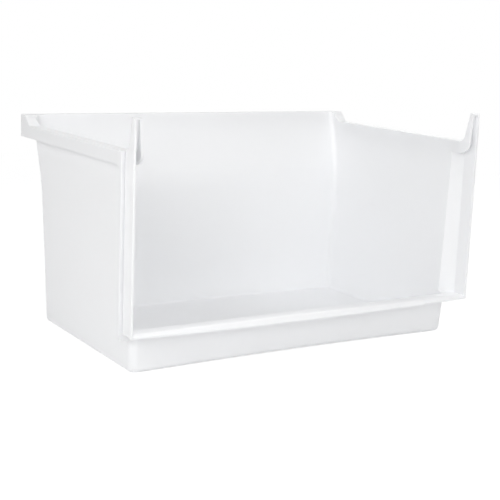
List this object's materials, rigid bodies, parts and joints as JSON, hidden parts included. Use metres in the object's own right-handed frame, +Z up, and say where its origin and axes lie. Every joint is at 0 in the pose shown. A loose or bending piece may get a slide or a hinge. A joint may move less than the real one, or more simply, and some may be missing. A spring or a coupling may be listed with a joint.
{
  "type": "freezer drawer",
  "caption": "Open-fronted moulded tub with overhanging side rails, a raised back rim, a low sill and upright front horns, for a household freezer.",
  "frame": {"origin": "middle of the drawer's outline, level with the two strips that it stands on", "axes": "+X across the drawer to its right as seen from the front, +Y from the open front to the back rim, +Z up"},
  "size_m": [0.4404, 0.282, 0.258],
  "materials": {
    "white_polystyrene": "glossy injection-moulded"
  },
  "bodies": {
    "root": {"drawer_body": "white_polystyrene"}
  },
  "joints": []
}
